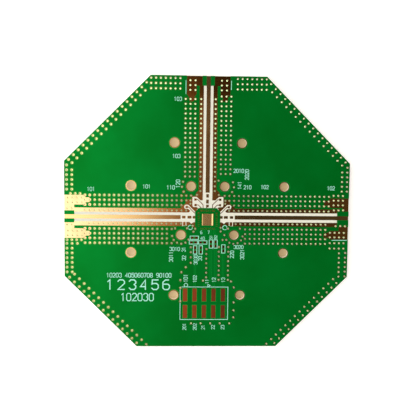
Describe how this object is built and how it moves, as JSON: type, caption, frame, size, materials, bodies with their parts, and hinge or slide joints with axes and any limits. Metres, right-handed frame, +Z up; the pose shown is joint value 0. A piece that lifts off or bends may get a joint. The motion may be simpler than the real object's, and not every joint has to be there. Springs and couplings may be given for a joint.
{
  "type": "bare circuit board",
  "caption": "Bare octagonal radio-frequency evaluation board: three coplanar lines with via fences, a chip land and a header land, on a green-masked white laminate.",
  "frame": {"origin": "Centre of the fixing-hole pattern and of the chip land, on the underside that the board rests on.", "axes": "+Z up out of the printed side, +Y towards the edge that the top line runs to, +X towards the right line's edge. The board lies flat."},
  "size_m": [0.0756, 0.0721, 0.0016],
  "materials": {
    "laminate": "matt white glass-filled laminate",
    "plated_copper": "satin gold-plated copper",
    "solder_mask": "glossy green mask",
    "legend_ink": "matt pale ink"
  },
  "bodies": {
    "root": {"laminate": "laminate", "top_ground_copper": "plated_copper", "bottom_ground_copper": "plated_copper", "hole_plating": "plated_copper", "line_left": "plated_copper", "line_top": "plated_copper", "line_right": "plated_copper", "series_lands": "plated_copper", "fan_out_nets": "plated_copper", "chip_ground_land": "plated_copper", "chip_pin_lands": "plated_copper", "control_nets": "plated_copper", "header_lands": "plated_copper", "part_lands": "plated_copper", "top_mask": "solder_mask", "bottom_mask": "solder_mask", "legend": "legend_ink"}
  },
  "joints": []
}
